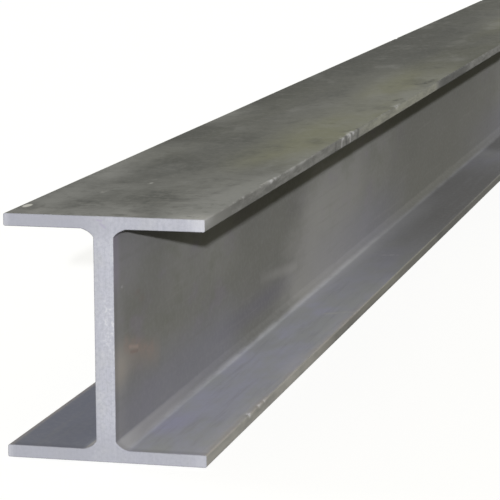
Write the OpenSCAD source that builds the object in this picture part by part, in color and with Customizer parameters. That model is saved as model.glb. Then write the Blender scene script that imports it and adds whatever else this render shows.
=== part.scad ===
// Rolled steel joist: one straight bar of I-section, hot rolled, with both ends sawn square.
// The bar lies along Y on its bottom flange. The origin is at mid length, under the web, on the floor.
// All sizes are in millimetres.

/* [Section] */
// Depth of the section, over the outer faces of both flanges
section_depth = 152.4; // [100:0.1:310]
// Width of both flanges, toe to toe
flange_width = 127; // [80:0.1:260]
// Thickness of both flanges, which are parallel, with no taper
flange_thickness = 8; // [4:0.1:25]
// Thickness of the web between the flanges
web_thickness = 12.8; // [4:0.1:30]

/* [Rolled corners] */
// Radius of the root fillets, where the web runs into the flanges
root_radius = 7.6; // [3:0.1:20]
// Radius that the rolls leave on the corners of the flange toes
toe_radius = 1.2; // [0.4:0.1:3]

/* [Stock] */
// Length of the bar, from one sawn end to the other
stock_length = 3000; // [500:10:15000]

/* [Hidden] */
mill_scale_grey = [0.42, 0.42, 0.40];
arc_facets = 64;
// A toe corner takes at most this share of the flange's thickness
toe_share_limit = 0.45;
toe_corner = min(toe_radius, toe_share_limit * flange_thickness);

// One flange across the section, its lower face at y = 0, with rounded toe corners
module flange_outline() {
  translate([-flange_width / 2 + toe_corner, 0])
    square([flange_width - 2 * toe_corner, flange_thickness]);
  translate([-flange_width / 2, toe_corner])
    square([flange_width, flange_thickness - 2 * toe_corner]);
  for (side = [-1, 1], corner = [toe_corner, flange_thickness - toe_corner])
    translate([side * (flange_width / 2 - toe_corner), corner])
      circle(r = toe_corner, $fn = arc_facets);
}

// The metal of one hollow root fillet, in the corner to the upper right of the origin
module root_fillet() {
  difference() {
    square(root_radius);
    translate([root_radius, root_radius])
      circle(r = root_radius, $fn = arc_facets);
  }
}

// One flange, its outer face at y = 0, with the two fillets that run into the web
module flange_with_roots() {
  flange_outline();
  for (side = [0, 1])
    mirror([side, 0])
      translate([web_thickness / 2, flange_thickness])
        root_fillet();
}

// The web, which starts inside one flange and ends inside the other
module web_outline() {
  translate([-web_thickness / 2, flange_thickness / 2])
    square([web_thickness, section_depth - flange_thickness]);
}

// The whole rolled section, the same above and below its middle
module rolled_section() {
  web_outline();
  flange_with_roots();
  translate([0, section_depth])
    mirror([0, 1])
      flange_with_roots();
}

// The bar: the section drawn out along Y
module joist() {
  color(mill_scale_grey)
    rotate([90, 0, 0])
      linear_extrude(height = stock_length, center = true)
        rolled_section();
}

joist();
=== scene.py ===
"""The looks of a rolled steel joist: a bar of I-section, mill scale on its rolled faces and two sawn ends.

Lengths are in metres, in the part's own frame: the bar lies along Y and its near end is at the lowest Y.
Bruises and marks are placed and sized in millimetres: along the bar from its near end, across it from the
middle of the web, to the right, and up from the floor.
"""
import math
import random

import bpy
from mathutils import Matrix, Vector, noise


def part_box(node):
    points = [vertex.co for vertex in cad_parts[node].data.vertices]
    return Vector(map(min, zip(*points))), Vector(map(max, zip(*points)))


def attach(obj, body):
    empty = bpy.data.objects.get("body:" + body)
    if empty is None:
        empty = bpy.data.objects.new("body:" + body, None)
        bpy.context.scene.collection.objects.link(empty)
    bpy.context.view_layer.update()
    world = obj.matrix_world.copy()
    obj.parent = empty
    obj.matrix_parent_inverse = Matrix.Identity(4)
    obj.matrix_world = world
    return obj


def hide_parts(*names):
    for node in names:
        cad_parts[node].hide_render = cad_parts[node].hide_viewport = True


MM = 0.001

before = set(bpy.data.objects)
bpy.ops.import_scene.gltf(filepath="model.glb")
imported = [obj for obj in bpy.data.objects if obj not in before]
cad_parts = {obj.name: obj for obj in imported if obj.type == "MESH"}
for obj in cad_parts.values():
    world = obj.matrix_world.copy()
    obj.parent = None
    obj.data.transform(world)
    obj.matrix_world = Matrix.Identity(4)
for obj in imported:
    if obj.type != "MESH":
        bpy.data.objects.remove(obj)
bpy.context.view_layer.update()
LOW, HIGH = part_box("joist")

# Sizes of the rolled section, the same as in the part's source
HALF_WIDTH = HIGH.x
DEPTH = HIGH.z
FLANGE = 8.0 * MM
HALF_WEB = 6.4 * MM
TOE_RADIUS = 1.2 * MM
NEAR_END = LOW.y
FAR_END = HIGH.y
LENGTH = FAR_END - NEAR_END
MIDDLE = (NEAR_END + FAR_END) / 2
# The middle of the depth, and how far the flanges' inner faces are from it
MID_HEIGHT = DEPTH / 2
HALF_GAP = DEPTH / 2 - FLANGE

# The root fillets look flatter than a quarter circle: how far one reaches along its flange and up the web
ROOT_REACH = 7.8 * MM
ROOT_RISE = 5.0 * MM
# How hollow a root fillet is, from 0 where it is straight to 1 where it runs smoothly into both faces
ROOT_HOLLOW = 0.4
# The saw leaves its edges broken by this much
SAWN_EDGE = 0.45 * MM
# The most that a rolled face dips below true, and the size of its waves across and along the bar
ROLL_DIP = 0.22 * MM
WAVE_ACROSS = 55.0 * MM
WAVE_ALONG = 210.0 * MM

# How many steps each stretch of the outline is drawn in
TOE_STEPS = 5
TOE_FACE_STEPS = 4
FLANGE_STEPS = 6
ROOT_STEPS = 8
WEB_STEPS = 10
TOP_STEPS = 8
# Extra points of a flat, this far from its ends, so that it shades flat
FLAT_INSETS = (0.5 * MM, 1.2 * MM, 2.0 * MM, 3.0 * MM, 4.2 * MM)
# They stay within this share of the flat's length
INSET_LIMIT = 0.4

# Where the section is repeated: evenly, this far from each sawn end, and in steps from a bruise's middle
RING_SPACING = 60.0 * MM
RING_INSETS = (0.4 * SAWN_EDGE, SAWN_EDGE, 1.4 * MM, 5.0 * MM)
SEEN_STEPS = 4
GUESSED_STEPS = 2
# A repeat that would come closer than this to the one before is left out
CLOSEST_RINGS = 0.1 * MM

# Guessed bruises: the seed that places them, how many each corner has, and the ranges of their sizes
GUESS_SEED = 41
GUESSED_PER_CORNER = 4
HALF_LENGTHS = (3.0, 9.0)
DEPTHS = (0.35, 1.1)
REACHES = (2.4, 4.5)
# How much of the bar the photograph shows, and how far guessed bruises keep from the bar's ends
SEEN_LENGTH = 1250
NICK_MARGIN = 60
# Where a bruise is this deep, it is wholly bare
BARE_DEPTH = 0.3 * MM

# The flat sheet that the bar is laid out on: its side, the gaps on it and the scale of the sawn ends
SHEET = 1.93
SHEET_GAP = 0.012
END_SCALE = 2.7

# The marks on the top are centred this many millimetres inside the steel
TOP_SINK = 0.4

# The floor: how far it reaches and how far below the bar it lies
FLOOR_REACH = 120.0
FLOOR_DROP = 0.2 * MM
# Its grey for the light that it throws back, its grey for the shadow on it, and its own glow
FLOOR_BOUNCE = (0.12, 0.12, 0.12, 1.0)
FLOOR_SHADOW = (0.26, 0.26, 0.26, 1.0)
FLOOR_GLOW = 0.82
# The even light of the room, and the white behind it
ROOM_TINT = (1.0, 0.965, 0.68, 1.0)
ROOM_LIGHT = 0.33
WHITE = (1.0, 1.0, 1.0, 1.0)


# Colours

def linear(channel):
    """One channel of a screen colour, 0 to 255, as light."""
    share = channel / 255.0
    if share <= 0.04045:
        return share / 12.92
    return ((share + 0.055) / 1.055) ** 2.4


def colour(red, green, blue):
    """A screen colour as the four numbers that a colour socket takes."""
    return (linear(red), linear(green), linear(blue), 1.0)


# The web and the bottom flange
SCALE_DARK = colour(124, 124, 121)
SCALE_LIGHT = colour(136, 136, 133)
SCALE_OLIVE = colour(123, 124, 117)
SCALE_MAUVE = colour(132, 128, 135)
SCALE_BLUE = colour(130, 130, 140)
SCALE_FAR = colour(118, 118, 114)
BAND_PALE = colour(157, 156, 155)
STREAK_MAUVE = colour(110, 108, 122)
# SHELF_BLUE_SHEEN and SHELF_LAVENDER are a painted sheen on the bottom flange's upper face
SHELF_BLUE_SHEEN = colour(167, 168, 185)
SHELF_GREY = colour(164, 166, 171)
SHELF_STREAK = colour(134, 135, 140)
SHELF_LAVENDER = colour(164, 164, 190)
SHELF_PALE = colour(185, 184, 187)
SHELF_LEFT = colour(122, 125, 139)
SHELF_DULL = colour(117, 117, 119)
ROOT_GREY = colour(151, 150, 155)
# The painted highlight on the root fillets
ROOT_HIGHLIGHT = colour(196, 197, 202)
# The top
TOP_DARK = colour(96, 97, 97)
TOP_PALE = colour(131, 132, 131)
TOP_OLIVE = colour(128, 129, 115)
TOP_FRONT = colour(143, 144, 145)
# Smears, stains and scratches
PATCH_DARK = colour(88, 89, 89)
PATCH_PALE = colour(142, 143, 144)
GRAIN_PALE = colour(156, 156, 157)
RUST_PINK = colour(151, 135, 129)
RUST_BROWN = colour(145, 138, 133)
RUST_PALE = colour(176, 159, 151)
RUST_RED = colour(126, 98, 94)
SAW_HEAT = colour(88, 84, 96)
SAW_MAUVE = colour(152, 146, 162)
HAZE = colour(177, 173, 169)
SCRATCH = colour(174, 174, 175)
CHIP = colour(206, 206, 205)
# The toes
TOE_DARK = colour(119, 119, 117)
TOE_GREY = colour(142, 142, 140)
TOE_OLIVE = colour(158, 158, 147)
TOE_TAN = colour(136, 134, 129)
TOE_FRESH = colour(172, 170, 165)
TOE_EDGE = colour(171, 165, 161)
WORN = colour(166, 166, 166)
BARE = colour(184, 184, 185)
# The sawn ends
SAWN_DARK = colour(139, 140, 147)
SAWN_LIGHT = colour(146, 147, 153)
SAWN_GREY = colour(144, 145, 147)
SAWN_BRIGHT = colour(163, 164, 166)
SAWN_DULL = colour(126, 127, 133)
SAWN_TIP = colour(178, 178, 181)
SAWN_MAUVE = colour(126, 119, 138)


# The outline of the section, walked with the metal on the left, each point with whether it rounds a toe

def straight(start, end, count):
    """Points of a flat from start to end, closer together at both ends."""
    run = Vector(end) - Vector(start)
    length = run.length
    shares = [step / count for step in range(count + 1)]
    for inset in FLAT_INSETS:
        if inset < INSET_LIMIT * length:
            shares.append(inset / length)
            shares.append(1.0 - inset / length)
    return [(Vector(start) + run * share, False) for share in sorted(set(shares))]


def toe_corner(centre, first):
    """Points of a toe's rounded corner: a quarter turn from the first angle, in degrees."""
    points = []
    for step in range(1, TOE_STEPS):
        angle = math.radians(first + 90 * step / TOE_STEPS)
        place = Vector(centre) + Vector((math.cos(angle), math.sin(angle))) * TOE_RADIUS
        points.append((place, True))
    return points


def toe(low, high):
    """Points round a flange's right toe, from its lower corner, up its outer face, to its upper corner."""
    inner = HALF_WIDTH - TOE_RADIUS
    points = toe_corner((inner, low + TOE_RADIUS), -90)
    points += straight((HALF_WIDTH, low + TOE_RADIUS), (HALF_WIDTH, high - TOE_RADIUS), TOE_FACE_STEPS)
    return points + toe_corner((inner, high - TOE_RADIUS), 0)


def root(start, corner, end):
    """Points of a root fillet: nearly straight from start to end, and drawn a little towards its corner."""
    middle = (Vector(start) + Vector(end)) / 2
    pull = middle.lerp(Vector(corner), ROOT_HOLLOW)
    points = []
    for step in range(1, ROOT_STEPS):
        share = step / ROOT_STEPS
        place = Vector(start) * (1 - share) ** 2 + pull * 2 * share * (1 - share) + Vector(end) * share ** 2
        points.append((place, False))
    return points


def right_half():
    """The outline from the middle of the underside, up the right side, to the middle of the top."""
    inner = HALF_WIDTH - TOE_RADIUS
    foot = HALF_WEB + ROOT_REACH
    shelf = FLANGE
    ceiling = DEPTH - FLANGE
    points = straight((0.0, 0.0), (inner, 0.0), FLANGE_STEPS)
    points += toe(0.0, shelf)
    points += straight((inner, shelf), (foot, shelf), FLANGE_STEPS)
    points += root((foot, shelf), (HALF_WEB, shelf), (HALF_WEB, shelf + ROOT_RISE))
    points += straight((HALF_WEB, shelf + ROOT_RISE), (HALF_WEB, ceiling - ROOT_RISE), WEB_STEPS)
    points += root((HALF_WEB, ceiling - ROOT_RISE), (HALF_WEB, ceiling), (foot, ceiling))
    points += straight((foot, ceiling), (inner, ceiling), FLANGE_STEPS)
    points += toe(ceiling, DEPTH)
    return points + straight((inner, DEPTH), (0.0, DEPTH), TOP_STEPS)


def whole_outline():
    """The closed outline: the right half, then its mirror image from the top back to the underside."""
    half = right_half()
    mirrored = [(Vector((-place.x, place.y)), is_toe) for place, is_toe in reversed(half)]
    return half + mirrored[1:-1]


def outward(outline):
    """The direction out of the metal at each point of the outline."""
    count = len(outline)
    found = []
    for index in range(count):
        before = outline[index - 1][0]
        after = outline[(index + 1) % count][0]
        along = (after - before).normalized()
        found.append(Vector((along.y, -along.x)))
    return found


# Handling damage on the corners of the flange toes

class Nick:
    """A small bruise: its place along the bar, corner, half length, depth and reach across."""

    def __init__(self, along, corner, half_length, depth, reach):
        self.along = NEAR_END + along * MM
        self.corner = Vector(corner)
        self.half_length = half_length * MM
        self.depth = depth * MM
        self.reach = reach * MM

    def share(self, along, place):
        """How much of the bruise's depth a point takes, from 0 to 1."""
        lengthwise = abs(along - self.along) / self.half_length
        across = (place - self.corner).length / self.reach
        if lengthwise >= 1.0 or across >= 1.0:
            return 0.0
        return (1.0 - lengthwise ** 2) ** 2 * (1.0 - across ** 2) ** 2


def seen_nicks():
    """The bruises that the photograph shows, all on the right side."""
    top = (HALF_WIDTH, DEPTH)
    low = (HALF_WIDTH, FLANGE)
    return [
        Nick(110, low, 4.0, 0.9, 3.2),
        Nick(136, low, 3.0, 0.7, 2.6),
        Nick(151, low, 2.5, 0.5, 2.2),
        Nick(96, top, 3.0, 0.4, 2.2),
        Nick(173, top, 6.0, 0.7, 3.0),
        Nick(186, top, 4.0, 0.5, 2.6),
        Nick(408, top, 6.0, 0.7, 3.2),
        Nick(431, top, 7.0, 1.0, 3.6),
        Nick(448, top, 5.0, 0.7, 3.4),
        Nick(634, top, 8.0, 0.6, 4.0),
    ]


def guessed_nicks():
    """Bruises of the same kind where the photograph doesn't reach."""
    chance = random.Random(GUESS_SEED)
    last = LENGTH / MM - NICK_MARGIN
    nicks = []
    for side in (-1, 1):
        for height in (0.0, FLANGE, DEPTH - FLANGE, DEPTH):
            hidden = side < 0 and height in (0.0, DEPTH - FLANGE)
            first = NICK_MARGIN if hidden else SEEN_LENGTH
            for _ in range(GUESSED_PER_CORNER):
                along = chance.uniform(first, last)
                half_length = chance.uniform(*HALF_LENGTHS)
                depth = chance.uniform(*DEPTHS)
                reach = chance.uniform(*REACHES)
                nicks.append(Nick(along, (side * HALF_WIDTH, height), half_length, depth, reach))
    return nicks


SEEN_NICKS = seen_nicks()
NICKS = SEEN_NICKS + guessed_nicks()


# The bar

def ring_places():
    """Where the section is repeated: evenly, at both sawn edges and closely at each bruise."""
    count = int(LENGTH / RING_SPACING)
    places = [NEAR_END + LENGTH * step / count for step in range(count + 1)]
    for inset in RING_INSETS:
        places.append(NEAR_END + inset)
        places.append(FAR_END - inset)
    for nick in NICKS:
        steps = SEEN_STEPS if nick in SEEN_NICKS else GUESSED_STEPS
        for step in range(-steps, steps + 1):
            places.append(nick.along + nick.half_length * step / steps)
    kept = []
    for place in sorted(places):
        if not kept or place - kept[-1] > CLOSEST_RINGS:
            kept.append(place)
    kept[-1] = FAR_END
    return kept


def edge_break(along):
    """How far the outline is drawn in beside a sawn end."""
    inset = min(along - NEAR_END, FAR_END - along)
    if inset >= SAWN_EDGE:
        return 0.0
    share = 1.0 - inset / SAWN_EDGE
    return SAWN_EDGE * (1.0 - math.sqrt(max(0.0, 1.0 - share ** 2)))


def roll_dip(along, place):
    """The long shallow waves that the rolls leave in a face."""
    spot = Vector((place.x / WAVE_ACROSS, along / WAVE_ALONG, place.y / WAVE_ACROSS))
    return ROLL_DIP * (0.5 + 0.5 * noise.noise(spot))


def bar_points(outline, rings):
    """The bar's points, ring by ring, with how bare a bruise leaves each one."""
    outs = outward(outline)
    points = []
    bareness = []
    for along in rings:
        near_nicks = [nick for nick in NICKS if abs(along - nick.along) < nick.half_length]
        for (place, _), out in zip(outline, outs):
            bruise = 0.0
            for nick in near_nicks:
                bruise = max(bruise, nick.depth * nick.share(along, place))
            drawn_in = edge_break(along) + bruise + roll_dip(along, place)
            moved = place - out * drawn_in
            points.append((moved.x, along, max(0.0, moved.y)))
            bareness.append(min(1.0, bruise / BARE_DEPTH))
    return points, bareness


def bar_faces(around, ring_count):
    """Quads along the bar, then one face for each sawn end."""
    faces = []
    for ring in range(ring_count - 1):
        low = ring * around
        for index in range(around):
            after = (index + 1) % around
            faces.append((low + after, low + index, low + around + index, low + around + after))
    last = (ring_count - 1) * around
    near_cap = tuple(range(around))
    far_cap = tuple(reversed(range(last, last + around)))
    return faces + [near_cap, far_cap]


def is_cap(face):
    """Whether a face is a whole sawn end, and not one of the quads along the bar."""
    return len(face.vertices) > 4


def add_values(mesh, name, values, domain="POINT"):
    """Keeps one number for each point or face of the mesh, for the materials to read."""
    store = mesh.attributes.new(name, "FLOAT", domain)
    store.data.foreach_set("value", values)


def walked_round(outline):
    """How far round the outline each of its points lies, and last the whole way round."""
    walked = [0.0]
    for index, (place, _) in enumerate(outline):
        after = outline[(index + 1) % len(outline)][0]
        walked.append(walked[-1] + (after - place).length)
    return walked


def end_on_sheet(place):
    """Where a point of a sawn end lies on the sheet: above the bar's two halves, side by side."""
    across = SHEET_GAP + (HALF_WIDTH + place.x) * END_SCALE
    if place.y > MIDDLE:
        across += 2 * HALF_WIDTH * END_SCALE + SHEET_GAP
    return across, 2 * SHEET_GAP + LENGTH / 2 + place.z * END_SCALE


def side_on_sheet(place, walked, whole_way, is_far):
    """Where a point of the bar's sides lies on the sheet: the near half, and beside it the far half."""
    if is_far:
        return 2 * SHEET_GAP + whole_way + walked, SHEET_GAP + place.y - MIDDLE
    return SHEET_GAP + walked, SHEET_GAP + place.y - NEAR_END


def unwrap(mesh, outline):
    """Lays the bar out flat on a square sheet."""
    around = len(outline)
    walked = walked_round(outline)
    layer = mesh.uv_layers.new(name="OFBake")
    for face in mesh.polygons:
        indices = [vertex % around for vertex in face.vertices]
        closes = 0 in indices and around - 1 in indices
        for loop, vertex, index in zip(face.loop_indices, face.vertices, indices):
            place = mesh.vertices[vertex].co
            if is_cap(face):
                across, along = end_on_sheet(place)
            else:
                reached = walked[around] if closes and index == 0 else walked[index]
                across, along = side_on_sheet(place, reached, walked[around], face.center.y > MIDDLE)
            layer.data[loop].uv = (across / SHEET, along / SHEET)


def make_bar():
    """The whole bar as one closed mesh."""
    outline = whole_outline()
    rings = ring_places()
    points, bareness = bar_points(outline, rings)
    mesh = bpy.data.meshes.new("joist_bar")
    mesh.from_pydata(points, [], bar_faces(len(outline), len(rings)))
    mesh.update()
    toes = [1.0 if is_toe else 0.0 for _, is_toe in outline]
    add_values(mesh, "toe", toes * len(rings))
    add_values(mesh, "bruise", bareness)
    unwrap(mesh, outline)
    edges = []
    for face in mesh.polygons:
        along = face.center.y
        is_sawn = min(along - NEAR_END, FAR_END - along) < SAWN_EDGE
        face.use_smooth = not is_cap(face)
        face.material_index = 1 if is_sawn else 0
        edges.append(1.0 if is_sawn and not is_cap(face) else 0.0)
    add_values(mesh, "sawn_edge", edges, "FACE")
    bar = bpy.data.objects.new("joist_bar", mesh)
    bpy.context.scene.collection.objects.link(bar)
    return bar


# Materials

class Shade:
    """A material that is written line by line, with sizes and places in millimetres."""

    def __init__(self, name):
        self.material = bpy.data.materials.new(name)
        self.material.use_nodes = True
        self.nodes = self.material.node_tree.nodes
        self.links = self.material.node_tree.links
        self.nodes.clear()
        self.place = self.nodes.new("ShaderNodeTexCoord").outputs["Object"]
        apart = self.nodes.new("ShaderNodeSeparateXYZ")
        self.links.new(self.place, apart.inputs[0])
        self.x = apart.outputs[0]
        self.y = apart.outputs[1]
        self.z = apart.outputs[2]

    def put(self, socket, value):
        """Links a socket, or sets it where the value is a plain number, vector or colour."""
        if isinstance(value, bpy.types.NodeSocket):
            self.links.new(value, socket)
        else:
            socket.default_value = value

    def number(self, operation, first, second=0.0):
        """One sum with two numbers."""
        node = self.nodes.new("ShaderNodeMath")
        node.operation = operation
        self.put(node.inputs[0], first)
        self.put(node.inputs[1], second)
        return node.outputs[0]

    def vector(self, operation, first, second=(0.0, 0.0, 0.0)):
        """One sum with two vectors, as the node that holds the result."""
        node = self.nodes.new("ShaderNodeVectorMath")
        node.operation = operation
        self.put(node.inputs[0], first)
        self.put(node.inputs[1], second)
        return node

    def times(self, *values):
        """The product of several numbers."""
        result = values[0]
        for value in values[1:]:
            result = self.number("MULTIPLY", result, value)
        return result

    def most(self, *values):
        """The largest of several numbers."""
        result = values[0]
        for value in values[1:]:
            result = self.number("MAXIMUM", result, value)
        return result

    def off(self, value, middle=0.0):
        """How far a number is from a middle, on either side."""
        return self.number("ABSOLUTE", self.number("SUBTRACT", value, middle))

    def fade(self, value, start, stop, low=0.0, high=1.0):
        """A soft step from low at start to high at stop."""
        node = self.nodes.new("ShaderNodeMapRange")
        node.interpolation_type = "SMOOTHSTEP"
        self.put(node.inputs["Value"], value)
        node.inputs["From Min"].default_value = start
        node.inputs["From Max"].default_value = stop
        node.inputs["To Min"].default_value = low
        node.inputs["To Max"].default_value = high
        return node.outputs["Result"]

    def across(self, first, last, low=0.0, high=1.0):
        """A soft step across the bar."""
        return self.fade(self.x, first * MM, last * MM, low, high)

    def along(self, first, last, low=0.0, high=1.0):
        """A soft step along the bar."""
        return self.fade(self.y, NEAR_END + first * MM, NEAR_END + last * MM, low, high)

    def up(self, first, last, low=0.0, high=1.0):
        """A soft step up the bar."""
        return self.fade(self.z, first * MM, last * MM, low, high)

    def mottle(self, sizes, detail=4.0, rough=0.55, turn=0.0, shift=(0.0, 0.0, 0.0)):
        """Cloudy variation about 0.5, in patches of the given sizes, turned by degrees about Y."""
        turned = self.nodes.new("ShaderNodeVectorRotate")
        turned.rotation_type = "EULER_XYZ"
        turned.inputs["Rotation"].default_value = (0.0, math.radians(turn), 0.0)
        self.links.new(self.place, turned.inputs["Vector"])
        scaled = self.nodes.new("ShaderNodeMapping")
        scaled.inputs["Scale"].default_value = [1.0 / (size * MM) for size in sizes]
        scaled.inputs["Location"].default_value = shift
        self.links.new(turned.outputs[0], scaled.inputs["Vector"])
        node = self.nodes.new("ShaderNodeTexNoise")
        node.inputs["Scale"].default_value = 1.0
        node.inputs["Detail"].default_value = detail
        node.inputs["Roughness"].default_value = rough
        self.links.new(scaled.outputs[0], node.inputs["Vector"])
        return node.outputs["Fac"]

    def spot(self, centre, sizes, share=1.0):
        """A soft oval mark: its share in the middle, 0 outside it."""
        away = self.vector("SUBTRACT", self.place, centre).outputs["Vector"]
        shrunk = self.vector("DIVIDE", away, [size * MM for size in sizes]).outputs["Vector"]
        return self.fade(self.vector("LENGTH", shrunk).outputs["Value"], 1.0, 0.0, 0.0, share)

    def streak(self, start, end, width, share=1.0):
        """A straight mark from start to end: its share along the middle, fading to 0 at its width."""
        run = Vector(end) - Vector(start)
        away = self.vector("SUBTRACT", self.place, start).outputs["Vector"]
        reached = self.vector("DOT_PRODUCT", away, run / run.length_squared).outputs["Value"]
        kept = self.nodes.new("ShaderNodeClamp")
        self.links.new(reached, kept.inputs["Value"])
        nearest = self.vector("MULTIPLY", kept.outputs[0], run).outputs["Vector"]
        distance = self.vector("DISTANCE", away, nearest).outputs["Value"]
        return self.fade(distance, width * MM, 0.0, 0.0, share)

    def stored(self, name):
        """A number that the mesh keeps for each point or face."""
        node = self.nodes.new("ShaderNodeAttribute")
        node.attribute_name = name
        return node.outputs["Fac"]

    def lay(self, base, top, *shares):
        """One colour laid over another, as thickly as the product of the shares."""
        node = self.nodes.new("ShaderNodeMix")
        node.data_type = "RGBA"
        self.put(node.inputs["Factor"], self.times(*shares))
        self.put(node.inputs[6], base)
        self.put(node.inputs[7], top)
        return node.outputs[2]

    def bump(self, height, depth, below=None):
        """Fine relief of the given depth."""
        node = self.nodes.new("ShaderNodeBump")
        node.inputs["Strength"].default_value = 1.0
        node.inputs["Distance"].default_value = depth * MM
        self.links.new(height, node.inputs["Height"])
        if below is not None:
            self.links.new(below, node.inputs["Normal"])
        return node.outputs[0]

    def surface(self, base, metal, rough, normal, gloss):
        """Closes the material with its shader."""
        shader = self.nodes.new("ShaderNodeBsdfPrincipled")
        self.put(shader.inputs["Base Color"], base)
        self.put(shader.inputs["Metallic"], metal)
        self.put(shader.inputs["Roughness"], rough)
        self.links.new(normal, shader.inputs["Normal"])
        shader.inputs["Specular IOR Level"].default_value = gloss
        output = self.nodes.new("ShaderNodeOutputMaterial")
        self.links.new(shader.outputs[0], output.inputs["Surface"])
        return self.material


# Places of marks, in millimetres

def on_web(along, up):
    """A place on the right face of the web."""
    return (HALF_WEB, NEAR_END + along * MM, up * MM)


def on_shelf(across, along):
    """A place on the upper face of the bottom flange."""
    return (across * MM, NEAR_END + along * MM, FLANGE)


def on_top(across, along, sink=TOP_SINK):
    """A place on the top, or a little inside the steel there."""
    return (across * MM, NEAR_END + along * MM, DEPTH - sink * MM)


def on_toe(along, up):
    """A place on the outer face of a right toe."""
    return (HALF_WIDTH, NEAR_END + along * MM, up * MM)


def on_end(across, up):
    """A place on the near sawn end."""
    return (across * MM, NEAR_END, up * MM)


# Mill scale, face by face

def painted_sheen_on_web(shade):
    """A painted sheen on the right face of the web: from a ragged edge on, fading along the bar and upwards.
    """
    lean_height = 65 * MM
    raggedness = 200 * MM
    ragged = shade.mottle((34, 110, 34), 4.0, 0.6, shift=(6, 6, 1))
    leaning = shade.number("SUBTRACT", shade.y, shade.number("SUBTRACT", shade.z, lean_height))
    edge = shade.number("ADD", leaning, shade.times(ragged, raggedness))
    begins = shade.fade(edge, NEAR_END + 550 * MM, NEAR_END + 665 * MM)
    return shade.times(begins, shade.along(910, 500), shade.up(120, 68), shade.across(-2, 2))


def web_grey(shade):
    """The grey of the web, faintly olive and mauve, with painted bluish light towards its foot and a painted
    sheen.
    """
    clouds = shade.mottle((160, 260, 160), 3.0)
    grey = shade.lay(SCALE_DARK, SCALE_LIGHT, shade.fade(clouds, 0.34, 0.66))
    tints = shade.mottle((30, 70, 30), 3.0, 0.6, shift=(3, 4, 6))
    grey = shade.lay(grey, SCALE_OLIVE, shade.fade(tints, 0.50, 0.34, 0.0, 0.6))
    grey = shade.lay(grey, SCALE_MAUVE, shade.fade(tints, 0.52, 0.68, 0.0, 0.6))
    # Painted bluish light towards the foot of the web
    grey = shade.lay(grey, SCALE_BLUE, shade.up(66, 24, 0.0, 0.8))
    dim = shade.times(shade.along(250, 350), shade.along(600, 500, 0.0, 0.8))
    far = shade.times(shade.along(760, 1060), shade.along(1900, 1250))
    grey = shade.lay(grey, SCALE_FAR, shade.most(far, dim))
    # Painted sheen: the paler stretch of the web
    return shade.lay(grey, BAND_PALE, painted_sheen_on_web(shade), 0.68)


def web_streaks(shade, base):
    """The marks on the web: mauve along its foot, pale above it and by the end, and lines of rolling."""
    base = shade.lay(base, STREAK_MAUVE, shade.spot(on_web(370, 29), (10, 170, 14), 0.5))
    pale = shade.streak(on_web(380, 47), on_web(500, 36), 7.0, 0.46)
    base = shade.lay(base, BAND_PALE, pale, shade.along(310, 470))
    base = shade.lay(base, BAND_PALE, shade.spot(on_web(482, 57), (10, 56, 18), 0.28))
    corner = shade.spot(on_web(20, 126), (10, 110, 44))
    beside_end = shade.along(34, 4, 0.0, 0.95)
    base = shade.lay(base, ROOT_GREY, shade.most(corner, beside_end), 0.44)
    lines = shade.mottle((4, 140, 4), 4.0, 0.65, shift=(1, 5, 3))
    base = shade.lay(base, SCALE_FAR, shade.fade(lines, 0.48, 0.30, 0.0, 0.16))
    return shade.lay(base, BAND_PALE, shade.fade(lines, 0.56, 0.74, 0.0, 0.12))


def shelf_painted_sheen(shade):
    """A painted bluish sheen on the bottom flange's upper face, in patches, and darker to the left of the
    web.
    """
    patches = shade.mottle((22, 70, 22), 3.0, 0.6, shift=(5, 2, 3))
    blue = shade.lay(SHELF_GREY, SHELF_BLUE_SHEEN, shade.fade(patches, 0.32, 0.70))
    # A painted lavender sheen near the sawn end
    blue = shade.lay(blue, SHELF_LAVENDER, shade.spot(on_shelf(20, 76), (18, 50, 10), 0.7))
    return shade.lay(SHELF_LEFT, blue, shade.across(-10, 10))


def flange_grey(shade, base):
    """The upper face of the bottom flange: a painted bluish sheen in patches near the sawn end, then duller.
    """
    off_middle = shade.off(shade.x)
    later = shade.fade(shade.mottle((300, 350, 300), 2.0), 0.42, 0.66, 0.0, 0.6)
    # fresh is a painted sheen near the sawn end, fading along the bar; far on, the same colours come back in
    # random patches
    fresh = shade.most(shade.along(980, 330), shade.times(shade.along(1200, 1600), later))
    grey = shade.lay(SHELF_DULL, shelf_painted_sheen(shade), fresh)
    # Painted light: the fillet's highlight spread onto the flange beside it
    by_root = shade.fade(off_middle, 42 * MM, 15 * MM, 0.0, 0.34)
    grey = shade.lay(grey, SHELF_GREY, by_root, shade.along(420, 680), shade.along(1150, 950))
    lines = shade.mottle((6, 110, 6), 4.0, 0.65, shift=(5, 2, 3))
    grey = shade.lay(grey, SHELF_STREAK, shade.fade(lines, 0.50, 0.30, 0.0, 0.26))
    margin = shade.times(shade.across(48, 61), shade.along(700, 200))
    grey = shade.lay(grey, SHELF_PALE, margin, shade.fade(lines, 0.40, 0.62, 0.1, 0.5))
    beyond_root = shade.fade(off_middle, HALF_WEB + 0.5 * ROOT_REACH, HALF_WEB + ROOT_REACH)
    return shade.lay(base, grey, beyond_root, shade.up(15, 8.6), shade.up(6.2, 7.6))


def between_flanges(shade):
    """1 up to the inner faces of the flanges, 0 within the flanges."""
    return shade.fade(shade.off(shade.z, MID_HEIGHT), HALF_GAP + 1.0 * MM, HALF_GAP + 0.3 * MM)


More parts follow.
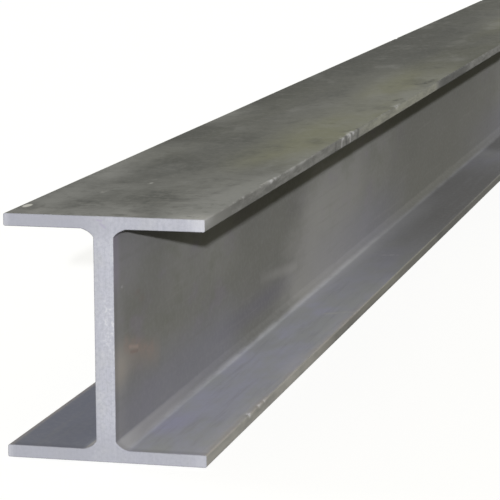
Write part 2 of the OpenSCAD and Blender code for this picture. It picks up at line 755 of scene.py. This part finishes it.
def root_faces(shade, base):
    """The root fillets: a painted highlight near the sawn end, and a little painted shade in the hollow
    further on.
    """
    height = shade.off(shade.z, MID_HEIGHT)
    rise = shade.fade(height, HALF_GAP - 1.15 * ROOT_RISE, HALF_GAP - 0.70 * ROOT_RISE)
    near_web = shade.fade(shade.off(shade.x), HALF_WEB + 1.10 * ROOT_REACH, HALF_WEB + 0.60 * ROOT_REACH)
    in_root = shade.times(rise, between_flanges(shade), near_web)
    # Painted shade in the hollow of the fillets
    base = shade.lay(base, PATCH_DARK, in_root, shade.along(60, 260, 0.0, 0.06))
    # Painted highlight on the fillets near the sawn end
    base = shade.lay(base, ROOT_GREY, in_root, shade.along(240, 40, 0.0, 0.75))
    return shade.lay(base, ROOT_HIGHLIGHT, in_root, shade.along(60, 10, 0.0, 0.24))


def root_lines(shade, base):
    """Painted highlights: a broken bright line along the foot of each root fillet, and a paler strip of
    flange beside it.
    """
    off_middle = shade.off(shade.x)
    inside = between_flanges(shade)
    line = shade.fade(shade.off(off_middle, HALF_WEB + 0.86 * ROOT_REACH), 4.4 * MM, 0.4 * MM)
    gaps = shade.mottle((12, 60, 12), 5.0, 0.7, shift=(4, 8, 1))
    broken = shade.fade(gaps, 0.34, 0.62, 0.22, 1.0)
    seen = shade.times(shade.along(20, 260, 0.26, 0.44), shade.along(470, 920, 1.0, 0.26))
    base = shade.lay(base, ROOT_HIGHLIGHT, line, inside, broken, seen)
    # Painted light on the flange beside the fillet's highlight
    beside = shade.times(shade.fade(off_middle, 9 * MM, 13 * MM), shade.fade(off_middle, 28 * MM, 13 * MM))
    lit = shade.times(shade.along(400, 500), shade.along(1000, 700, 0.0, 0.24))
    return shade.lay(base, SHELF_PALE, beside, inside, lit)


def top_grey(shade):
    """The weathered grey of the top: darker to the left but for its margin, and olive along the right."""
    grey = shade.lay(TOP_DARK, TOP_PALE, shade.across(-72, 76))
    grey = shade.lay(grey, TOP_FRONT, shade.across(36, 62, 0.0, 0.55))
    margin = shade.most(
        shade.spot(on_top(-62, 235), (36, 150, 20)),
        shade.spot(on_top(-54, 182), (32, 78, 20)),
        shade.spot(on_top(-44, 325), (36, 60, 20), 0.45),
        shade.spot(on_top(-26, 120), (20, 30, 20), 0.5),
        shade.spot(on_top(-20, 216), (16, 44, 20), 0.6),
        shade.spot(on_top(-62, 545), (34, 110, 20), 0.8))
    grey = shade.lay(grey, TOP_FRONT, margin, 0.85)
    patches = shade.mottle((50, 240, 80), 3.0, 0.5, shift=(3, 1, 2))
    olive = shade.times(shade.along(180, 290), shade.across(-4, 36, 0.12, 1.0))
    grey = shade.lay(grey, TOP_OLIVE, olive, shade.fade(patches, 0.36, 0.62, 0.30, 0.90))
    dim = shade.spot(on_top(-4, 320), (48, 210, 20), 0.7)
    moss = shade.spot(on_top(48, 235), (32, 90, 20))
    far = shade.times(shade.along(840, 1100), shade.along(1700, 1300), 1.4)
    return shade.lay(grey, TOP_DARK, shade.most(dim, moss, far), 0.5)


def top_smudges(shade, grey):
    """The pale front corners of the top, and the dark finger marks that run across between them."""
    corners = shade.most(
        shade.spot(on_top(-50, 60), (36, 130, 20)),
        shade.spot(on_top(48, 70), (36, 120, 20)),
        shade.along(80, 18, 0.0, 0.9))
    grey = shade.lay(grey, TOP_FRONT, corners, 0.8)
    front_edge = shade.most(
        shade.spot(on_top(15, 8), (16, 24, 20)),
        shade.spot(on_top(60, 6), (20, 32, 20)),
        shade.spot(on_top(-54, 8), (22, 36, 20)))
    grey = shade.lay(grey, GRAIN_PALE, front_edge, 0.8)
    grey = shade.lay(grey, SCRATCH, shade.spot(on_top(58, 2), (30, 27, 20), 0.7))
    grey = shade.lay(grey, PATCH_PALE, shade.spot(on_top(2, 150), (56, 70, 20), 0.16))
    fingers = shade.most(
        shade.spot(on_top(-21, 54), (36, 44, 20)),
        shade.spot(on_top(14, 86), (42, 50, 20)))
    crisp = shade.mottle((16, 15, 16), 5.0, 0.7, shift=(8, 8, 3))
    grey = shade.lay(grey, PATCH_DARK, fingers, shade.fade(crisp, 0.42, 0.60, 0.0, 0.75))
    near = shade.along(420, 60)
    fine = shade.mottle((12, 14, 12), 5.0, 0.75, shift=(2, 6, 9))
    grey = shade.lay(grey, PATCH_DARK, near, shade.fade(fine, 0.47, 0.34, 0.0, 0.36))
    return shade.lay(grey, PATCH_PALE, near, shade.fade(fine, 0.54, 0.70, 0.0, 0.40))


def smears(shade, base, top):
    """Faint marks of dragging and stacking on the top, and fainter ones on the other faces."""
    patches = shade.mottle((40, 120, 40), 4.0, 0.60, shift=(2, 0, 5))
    strength = shade.fade(top, 0.0, 1.0, 0.08, 0.42)
    base = shade.lay(base, PATCH_DARK, shade.fade(patches, 0.50, 0.30), strength)
    base = shade.lay(base, PATCH_PALE, shade.fade(patches, 0.54, 0.74), strength)
    drag = shade.mottle((26, 20, 30), 5.0, 0.7, shift=(7, 7, 2))
    base = shade.lay(base, PATCH_DARK, top, shade.fade(drag, 0.48, 0.30, 0.0, 0.30))
    return shade.lay(base, PATCH_PALE, top, shade.fade(drag, 0.54, 0.72, 0.0, 0.22))


def scale_colour(shade):
    """The grey of the mill scale, face by face, then its smears and its fine grain."""
    base = web_streaks(shade, web_grey(shade))
    base = root_lines(shade, root_faces(shade, flange_grey(shade, base)))
    top = shade.fade(shade.z, DEPTH - 1.4 * MM, DEPTH - 0.5 * MM)
    base = shade.lay(base, top_smudges(shade, top_grey(shade)), top)
    base = smears(shade, base, top)
    grain = shade.mottle((3.5, 5, 3.5), 3.0, 0.6)
    return shade.lay(base, GRAIN_PALE, shade.fade(grain, 0.40, 0.72, 0.0, 0.12))


# Marks on the mill scale

def rust_trace(shade, base):
    """The trace of rust near the sawn end: a brown and a pink smear, red flecks and a pale core."""
    brown = shade.most(
        shade.streak(on_web(8, 64), on_web(92, 50), 15.0, 0.6),
        shade.spot(on_web(12, 57), (10, 30, 16)))
    base = shade.lay(base, RUST_BROWN, brown, 0.8)
    base = shade.lay(base, HAZE, shade.spot(on_web(2, 58), (10, 52, 24), 0.45))
    pink = shade.streak(on_web(24, 69), on_web(82, 54), 9.0, 0.50)
    blotches = shade.mottle((5, 10, 5), 4.0, 0.7, shift=(5, 2, 7))
    base = shade.lay(base, RUST_PINK, pink, shade.fade(blotches, 0.36, 0.58, 0.2, 1.0))
    red = shade.most(
        shade.streak(on_web(34, 62.2), on_web(49, 60.0), 1.8),
        shade.spot(on_web(51, 97), (4, 10, 4), 0.5),
        shade.spot(on_web(60, 91.5), (4, 10, 4), 0.5))
    base = shade.lay(base, RUST_RED, red, 0.28)
    return shade.lay(base, RUST_PALE, shade.streak(on_web(32, 66.0), on_web(50, 62.6), 2.2, 0.45))


def saw_heat(shade, base):
    """The faint dark and mauve tints that the heat of the saw leaves beside both ends."""
    from_end = shade.number("SUBTRACT", LENGTH / 2, shade.off(shade.y, MIDDLE))
    below_top = shade.fade(shade.z, DEPTH - 0.5 * MM, DEPTH - 1.4 * MM)
    base = shade.lay(base, SAW_HEAT, below_top, shade.fade(from_end, 10 * MM, 2 * MM, 0.0, 0.22))
    mauve = shade.fade(from_end, 18 * MM, 5 * MM, 0.0, 0.5)
    return shade.lay(base, SAW_MAUVE, below_top, shade.up(96, 118), mauve)


def scratches(shade, base):
    """The dark scuffs, pale scratches and chip that the photograph shows, broken up but for the chip."""
    broken = shade.fade(shade.mottle((4, 10, 4), 4.0, 0.7, shift=(2, 7, 5)), 0.34, 0.60, 0.0, 0.8)
    dark = shade.most(
        shade.streak(on_top(54, 674), on_top(57, 690), 4.0),
        shade.streak(on_top(46, 812), on_top(54, 822), 5.0),
        shade.streak(on_top(54, 824), on_top(57, 862), 5.0))
    base = shade.lay(base, PATCH_DARK, dark, broken)
    pale = shade.most(
        shade.streak(on_shelf(42, 450), on_shelf(62, 463), 6.0),
        shade.streak(on_shelf(36, 726), on_shelf(46, 729), 5.0, 0.45),
        shade.streak(on_top(62, 150), on_top(63, 200), 1.8),
        shade.streak(on_top(60, 412), on_top(63, 422), 3.0, 0.6),
        shade.streak(on_top(60, 438), on_top(63, 450), 3.6, 0.8),
        shade.streak(on_top(61, 626), on_top(63, 650), 4.0, 0.5),
        shade.spot(on_top(-30, 99, sink=0.0), (2.8, 8, 3)),
        shade.spot(on_top(-11, 143, sink=0.0), (2.6, 8, 3)),
        shade.spot(on_web(17, 106), (4, 4, 2)))
    base = shade.lay(base, SCRATCH, pale, broken)
    chip = shade.spot(on_top(-58.6, 32.0, sink=0.0), (4.6, 12.4, 3))
    return shade.lay(base, CHIP, shade.fade(chip, 0.25, 0.65, 0.0, 0.9))


# The toes of the flanges

def outer_faces(shade):
    """1 on the outer faces of the toes, 0 further in."""
    return shade.fade(shade.off(shade.x), HALF_WIDTH - 1.3 * MM, HALF_WIDTH - 0.3 * MM)


def toe_faces(shade, base):
    """The outer faces of the toes: streaked grey, fresh by the sawn end, then rubbed, then dull."""
    streaks = shade.mottle((10, 40, 6), 6.0, 0.75, shift=(6, 3, 8))
    pale = shade.most(shade.fade(streaks, 0.36, 0.64), shade.along(100, 10))
    grey = shade.lay(TOE_DARK, TOE_GREY, pale)
    upper = shade.fade(shade.z, DEPTH - 6.0 * MM, DEPTH - 2.0 * MM, 0.25, 0.8)
    grey = shade.lay(grey, SCRATCH, shade.along(30, 0), upper)
    rubbed = shade.times(shade.along(440, 520), shade.along(855, 820))
    grey = shade.lay(grey, TOE_OLIVE, rubbed, shade.fade(streaks, 0.36, 0.60, 0.45, 0.9))
    dull = shade.times(shade.along(830, 870), shade.along(1060, 990, 0.0, 0.6))
    grey = shade.lay(grey, PATCH_DARK, dull)
    return shade.lay(base, grey, outer_faces(shade))


def low_toes(shade, base):
    """The outer faces of the bottom flange's toes: fresh, then browner, and darker below and further on."""
    low = shade.times(outer_faces(shade), shade.up(9.0, 6.5))
    blotches = shade.mottle((10, 50, 10), 4.0, 0.65, shift=(2, 5, 8))
    brown = shade.lay(TOE_TAN, TOE_FRESH, shade.along(440, 230))
    base = shade.lay(base, brown, low, shade.fade(blotches, 0.34, 0.62, 0.50, 0.95))
    under = shade.times(shade.up(3.4, 1.4), shade.along(300, 460, 0.0, 0.25))
    dim = shade.times(shade.along(560, 760), shade.along(1900, 1250, 0.0, 0.36))
    return shade.lay(base, PATCH_DARK, low, shade.most(under, dim))


def low_toe_corners(shade, base):
    """The pale, broken line along the upper corners of the bottom flange's toes, which soon fades."""
    beside_toe = shade.fade(shade.off(shade.x), HALF_WIDTH - 5.0 * MM, HALF_WIDTH - 1.4 * MM)
    line = shade.times(beside_toe, shade.up(6.2, 7.3), shade.up(9.6, 8.4))
    blotches = shade.mottle((10, 50, 10), 4.0, 0.65, shift=(9, 4, 2))
    broken = shade.fade(blotches, 0.36, 0.62, 0.1, 0.6)
    return shade.lay(base, TOE_EDGE, line, broken, shade.along(380, 620, 1.0, 0.08))


def toe_scuffs(shade, base):
    """The dark and pale strokes that the photograph shows across the right toe of the top flange."""
    dark = shade.most(
        shade.streak(on_toe(382, 149.5), on_toe(381, 146.5), 3.6),
        shade.streak(on_toe(419, 151.0), on_toe(421, 146.0), 5.0),
        shade.streak(on_toe(468, 151.0), on_toe(463, 146.5), 6.0))
    base = shade.lay(base, PATCH_DARK, dark, 0.55)
    pale = shade.most(
        shade.streak(on_toe(405, 152.0), on_toe(403, 146.0), 4.2),
        shade.streak(on_toe(437, 151.0), on_toe(435, 145.5), 4.2),
        shade.spot(on_toe(447, 152.0), (5, 10, 4)),
        shade.spot(on_toe(170, 152.2), (3, 16, 2.6)),
        shade.spot(on_toe(236, 151.4), (3, 16, 2.2), 0.6),
        shade.spot(on_toe(265, 151.6), (3, 16, 2.2), 0.5))
    return shade.lay(base, SCRATCH, pale, 0.75)


def worn_corners(shade, base):
    """The toe corners: rubbed paler in places, painted shade on the top flange's corners, and the bare
    bruises.
    """
    corners = shade.stored("toe")
    rub = shade.fade(shade.mottle((4, 11, 4), 4.0, 0.65, shift=(1, 9, 4)), 0.48, 0.66, 0.0, 0.5)
    high = shade.up(20, 50)
    kept = shade.most(high, shade.along(620, 480), shade.along(1250, 1600))
    base = shade.lay(base, WORN, corners, rub, kept)
    # Painted shade that dims the highlight on the top flange's toe corners
    painted_corner_shade = shade.times(shade.along(270, 340), shade.along(1900, 1250, 0.0, 0.36))
    base = shade.lay(base, PATCH_DARK, corners, high, painted_corner_shade)
    bare = shade.fade(shade.mottle((3, 5, 3), 3.0, 0.6, shift=(9, 1, 3)), 0.36, 0.62, 0.0, 0.6)
    return shade.lay(base, BARE, shade.stored("bruise"), bare)


def mill_scale():
    """The skin that hot rolling leaves, dull and dark, with bare steel where it is worn."""
    shade = Shade("mill_scale")
    base = scale_colour(shade)
    for marks in (rust_trace, saw_heat, scratches):
        base = marks(shade, base)
    for wear in (toe_faces, low_toes, low_toe_corners, toe_scuffs, worn_corners):
        base = wear(shade, base)
    patches = shade.mottle((50, 110, 50), 4.0, 0.6, shift=(2, 4, 1))
    worn = shade.most(shade.times(shade.stored("toe"), 0.3), shade.times(shade.stored("bruise"), 0.8))
    rough = shade.number("SUBTRACT", shade.fade(patches, 0.30, 0.70, 0.74, 0.88), shade.times(worn, 0.25))
    metal = shade.fade(worn, 0.0, 1.0, 0.06, 0.4)
    pits = shade.mottle((13, 50, 13), 4.0, 0.6, shift=(4, 6, 2))
    grain = shade.mottle((2.2, 11, 2.2), 4.0, 0.65, shift=(8, 3, 5))
    normal = shade.bump(grain, 0.08, shade.bump(pits, 0.10))
    return shade.surface(base, metal, rough, normal, gloss=0.0)


# Sawn steel

def sawn_grey(shade, lines, clouds, flecks):
    """The greys of a sawn end, duller to the left, along the top and at the foot."""
    tint = shade.mottle((20, 300, 24), 4.0, 0.6, shift=(6, 1, 9))
    grey = shade.lay(SAWN_DARK, SAWN_LIGHT, shade.fade(lines, 0.30, 0.70))
    grey = shade.lay(grey, SAWN_GREY, shade.fade(tint, 0.46, 0.66, 0.0, 0.7))
    grey = shade.lay(grey, SAWN_BRIGHT, shade.fade(clouds, 0.54, 0.74, 0.0, 0.6))
    grey = shade.lay(grey, SAWN_DULL, shade.fade(flecks, 0.52, 0.38, 0.0, 0.42))
    grey = shade.lay(grey, SAWN_BRIGHT, shade.fade(flecks, 0.54, 0.68, 0.0, 0.24))
    left = shade.across(4, -20, 0.0, 0.45)
    low = shade.times(shade.up(30, 8), shade.across(-30, 30, 0.26, 0.56))
    high = shade.up(130, 146, 0.0, 0.35)
    return shade.lay(grey, SAWN_DULL, shade.number("ADD", left, shade.most(low, high)))


def sawn_marks(shade, base, lines, flecks):
    """The marks on a sawn end: bright flecks on the web, bright tips and two mauve strokes near the top."""
    bright = shade.spot(on_end(4, 86), (10, 20, 30))
    base = shade.lay(base, SAWN_BRIGHT, bright, shade.fade(flecks, 0.50, 0.66, 0.15, 0.8))
    right_tip = shade.times(shade.across(48, 62.5), shade.fade(shade.z, 0.0, DEPTH, 0.15, 0.34))
    left_tip = shade.across(-58, -62.8, 0.0, 0.25)
    tips = shade.most(right_tip, left_tip)
    base = shade.lay(base, SAWN_TIP, tips, shade.fade(lines, 0.30, 0.60, 0.5, 1.0))
    mauve = shade.most(
        shade.streak(on_end(-3.7, 149.9), on_end(-0.8, 149.6), 1.0),
        shade.streak(on_end(-1.6, 147.8), on_end(1.3, 145.5), 1.2))
    return shade.lay(base, SAWN_MAUVE, mauve, 0.5)


def sawn_steel():
    """Bright steel with the fine lines of the saw."""
    shade = Shade("sawn_steel")
    lines = shade.mottle((0.7, 1000, 30), 3.0, 0.6, turn=3.0)
    clouds = shade.mottle((16, 300, 16), 5.0, 0.65, shift=(1, 2, 3))
    flecks = shade.mottle((2.2, 300, 2.2), 3.0, 0.6, shift=(7, 2, 4))
    base = sawn_marks(shade, sawn_grey(shade, lines, clouds, flecks), lines, flecks)
    edge_rough = shade.times(shade.stored("sawn_edge"), 0.70)
    rough = shade.most(shade.fade(clouds, 0.30, 0.70, 0.62, 0.54), edge_rough)
    return shade.surface(base, 0.45, rough, shade.bump(lines, 0.02), gloss=0.2)


# Stage, light and camera

def seen_directly(nodes, links):
    """1 for rays from the camera, a gloss or a glass, 0 for the light that falls on things."""
    path = nodes.new("ShaderNodeLightPath")
    result = path.outputs["Is Camera Ray"]
    for kind in ("Is Glossy Ray", "Is Transmission Ray"):
        either = nodes.new("ShaderNodeMath")
        either.operation = "MAXIMUM"
        links.new(result, either.inputs[0])
        links.new(path.outputs[kind], either.inputs[1])
        result = either.outputs[0]
    return result


def close_by_ray(nodes, links, lighting, shown, output):
    """Closes a floor or world with one shader for the light that it gives and one for how it looks."""
    choice = nodes.new("ShaderNodeMixShader")
    links.new(seen_directly(nodes, links), choice.inputs[0])
    links.new(lighting.outputs[0], choice.inputs[1])
    links.new(shown.outputs[0], choice.inputs[2])
    links.new(choice.outputs[0], nodes.new(output).inputs["Surface"])


def floor_white():
    """The floor's material: white to look at, with a faint shadow, and dark for the light it gives back."""
    material = bpy.data.materials.new("floor_white")
    material.use_nodes = True
    nodes = material.node_tree.nodes
    links = material.node_tree.links
    nodes.clear()
    matt = nodes.new("ShaderNodeBsdfDiffuse")
    matt.inputs["Color"].default_value = FLOOR_BOUNCE
    shadowed = nodes.new("ShaderNodeBsdfDiffuse")
    shadowed.inputs["Color"].default_value = FLOOR_SHADOW
    glow = nodes.new("ShaderNodeEmission")
    glow.inputs["Strength"].default_value = FLOOR_GLOW
    shown = nodes.new("ShaderNodeAddShader")
    links.new(shadowed.outputs[0], shown.inputs[0])
    links.new(glow.outputs[0], shown.inputs[1])
    close_by_ray(nodes, links, matt, shown, "ShaderNodeOutputMaterial")
    return material


def make_floor():
    """A plain white floor that keeps a faint shadow of the bar."""
    mesh = bpy.data.meshes.new("floor")
    signs = ((-1, -1), (1, -1), (1, 1), (-1, 1))
    corners = [(across * FLOOR_REACH, along * FLOOR_REACH, 0.0) for across, along in signs]
    mesh.from_pydata(corners, [], [(0, 1, 2, 3)])
    mesh.materials.append(floor_white())
    floor = bpy.data.objects.new("floor", mesh)
    floor.location.z = -FLOOR_DROP
    bpy.context.scene.collection.objects.link(floor)


def make_world():
    """Even light from all round, in front of a white background."""
    world = bpy.data.worlds.new("studio")
    bpy.context.scene.world = world
    world.use_nodes = True
    nodes = world.node_tree.nodes
    links = world.node_tree.links
    nodes.clear()
    room = nodes.new("ShaderNodeBackground")
    room.inputs["Color"].default_value = ROOM_TINT
    room.inputs["Strength"].default_value = ROOM_LIGHT
    white = nodes.new("ShaderNodeBackground")
    white.inputs["Color"].default_value = WHITE
    white.inputs["Strength"].default_value = 1.0
    close_by_ray(nodes, links, room, white, "ShaderNodeOutputWorld")


def make_lamp(name, towards_lamp, energy, width, tint):
    """A distant lamp, with the width in degrees that it seems to have from the bar."""
    lamp = bpy.data.lights.new(name, "SUN")
    lamp.energy = energy
    lamp.angle = math.radians(width)
    lamp.color = tint
    holder = bpy.data.objects.new(name, lamp)
    holder.rotation_euler = Vector(towards_lamp).to_track_quat("Z", "Y").to_euler()
    bpy.context.scene.collection.objects.link(holder)


def make_lamps():
    """A key by the camera, which casts the top flange's shadow on the web, and a wide fill from the left."""
    make_lamp("key", (0.25, -0.946, 0.205), energy=5.6, width=0.9, tint=(0.965, 0.965, 1.0))
    make_lamp("fill", (-0.90, 0.38, 0.20), energy=1.5, width=30.0, tint=(1.0, 0.99, 0.96))


def make_camera():
    """The photograph's viewpoint."""
    azimuth = math.radians(13.829)
    elevation = math.radians(9.641)
    roll = math.radians(-0.258)
    distance = 1.44494
    target = Vector((0.091106, NEAR_END, 0.135103))
    data = bpy.data.cameras.new("camera")
    data.lens = 175.33
    data.sensor_width = 36.0
    data.clip_end = 500.0
    camera = bpy.data.objects.new("camera", data)
    back = Vector((math.sin(azimuth) * math.cos(elevation),
                   -math.cos(azimuth) * math.cos(elevation),
                   math.sin(elevation)))
    right = Vector((math.cos(azimuth), math.sin(azimuth), 0.0))
    up = back.cross(right)
    turned_right = right * math.cos(roll) + up * math.sin(roll)
    turned_up = up * math.cos(roll) - right * math.sin(roll)
    place = Matrix((turned_right, turned_up, back)).transposed().to_4x4()
    place.translation = target + back * distance
    camera.matrix_world = place
    bpy.context.scene.collection.objects.link(camera)
    bpy.context.scene.camera = camera


bar = make_bar()
bar.data.materials.append(mill_scale())
bar.data.materials.append(sawn_steel())
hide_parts("joist")
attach(bar, "root")

make_floor()
make_world()
make_lamps()
make_camera()
bpy.context.scene.view_settings.view_transform = "Standard"
